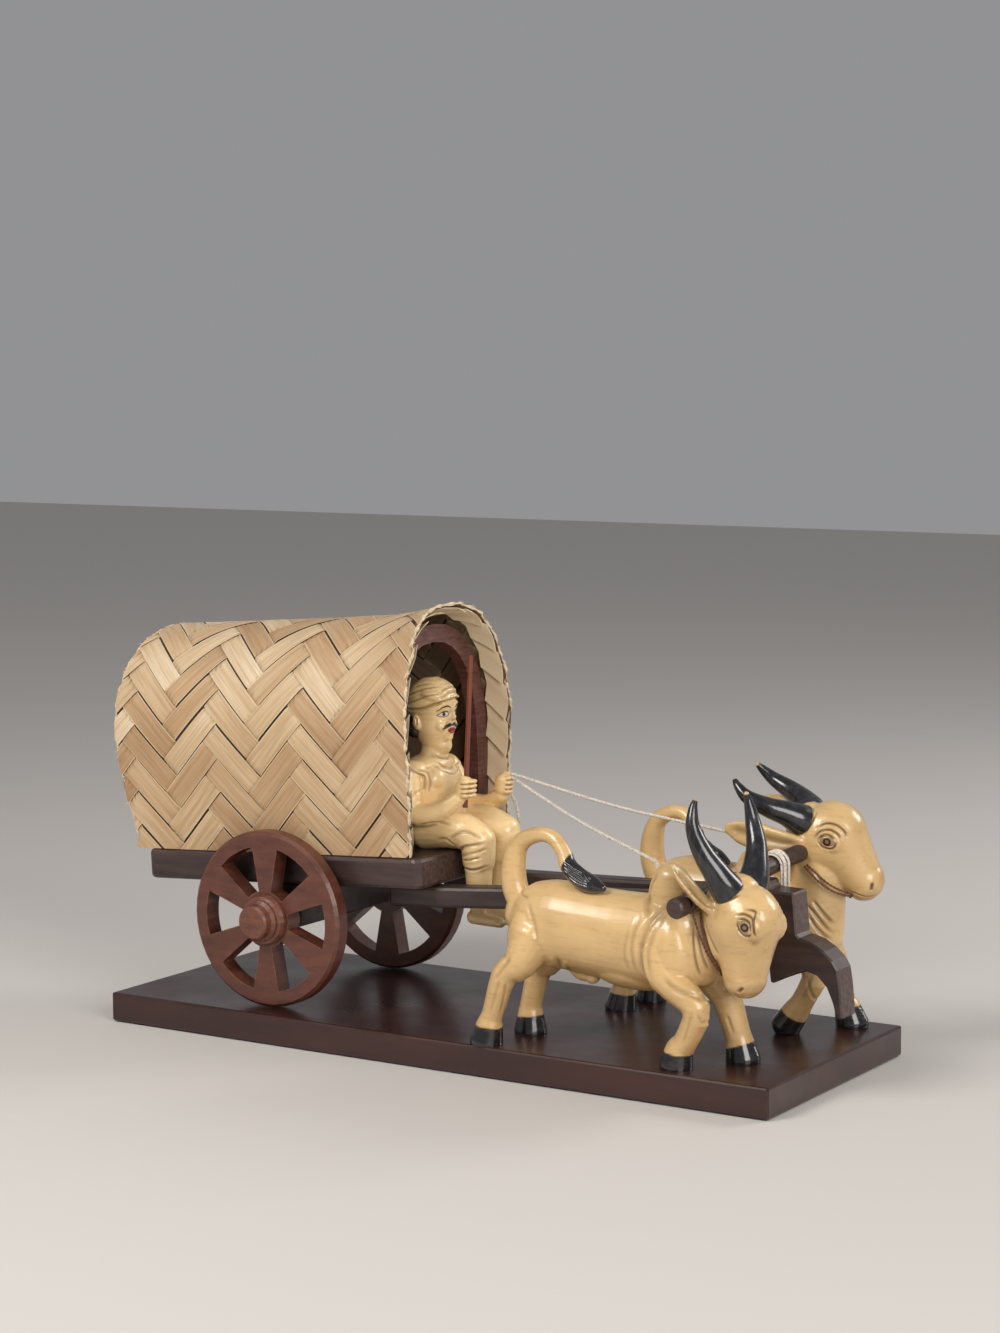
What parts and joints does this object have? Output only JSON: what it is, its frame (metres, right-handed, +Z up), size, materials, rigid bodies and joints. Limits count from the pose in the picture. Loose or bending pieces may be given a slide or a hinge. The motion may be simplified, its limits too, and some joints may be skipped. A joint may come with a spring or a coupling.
{
  "type": "model bullock cart",
  "caption": "Carved wooden model of a hooded two-wheeled bullock cart with its seated driver, yoked bullocks, reins and goad, on a rectangular base board",
  "frame": {"origin": "centre of the base board's underside", "axes": "+X forward along the cart, +Y to the cart's left side (the far side in the picture), +Z up"},
  "size_m": [0.4302, 0.1595, 0.2336],
  "materials": {
    "board_wood": "dark maroon lacquer, satin",
    "dark_wood": "dark brown stain, satin, worn edges",
    "red_wood": "red-brown stain, brushed on",
    "honey_wood": "clear honey lacquer, glossy",
    "black_lacquer": "glossy black paint on wood",
    "palm_leaf": "dry woven palm-leaf strips",
    "white_cotton": "undyed twisted cotton",
    "brown_cord": "thin brown cord",
    "red_stick": "red-brown stain"
  },
  "bodies": {
    "cart": {"axle_bolster": "dark_wood", "base_board": "board_wood", "bed": "dark_wood", "driver": "honey_wood", "far_bullock": "honey_wood", "far_bullock_left_horn": "black_lacquer", "far_bullock_right_horn": "black_lacquer", "far_bullock_tail": "honey_wood", "far_neck_cord": "brown_cord", "far_rein": "white_cotton", "far_rein_end": "white_cotton", "far_shaft": "dark_wood", "far_yoke_binding": "brown_cord", "front_arch": "red_wood", "goad_stick": "red_stick", "hood": "palm_leaf", "near_bullock": "honey_wood", "near_bullock_left_horn": "black_lacquer", "near_bullock_right_horn": "black_lacquer", "near_bullock_tail": "honey_wood", "near_neck_cord": "brown_cord", "near_rein": "white_cotton", "near_rein_end": "white_cotton", "near_shaft": "dark_wood", "near_yoke_binding": "brown_cord", "nose": "dark_wood", "rear_arch": "red_wood", "yoke": "dark_wood", "yoke_lashing": "white_cotton"},
    "near_wheel_set": {"near_wheel": "red_wood", "near_wheel_hub": "red_wood"},
    "far_wheel_set": {"far_wheel": "red_wood", "far_wheel_hub": "red_wood"}
  },
  "joints": [
    {"name": "near_wheel_spin", "type": "hinge", "parent": "cart", "child": "near_wheel_set", "pos_m": [-0.107, -0.05775, 0.0642], "axis": [0, 1, 0], "continuous": true},
    {"name": "far_wheel_spin", "type": "hinge", "parent": "cart", "child": "far_wheel_set", "pos_m": [-0.107, 0.05775, 0.0642], "axis": [0, 1, 0], "continuous": true}
  ]
}
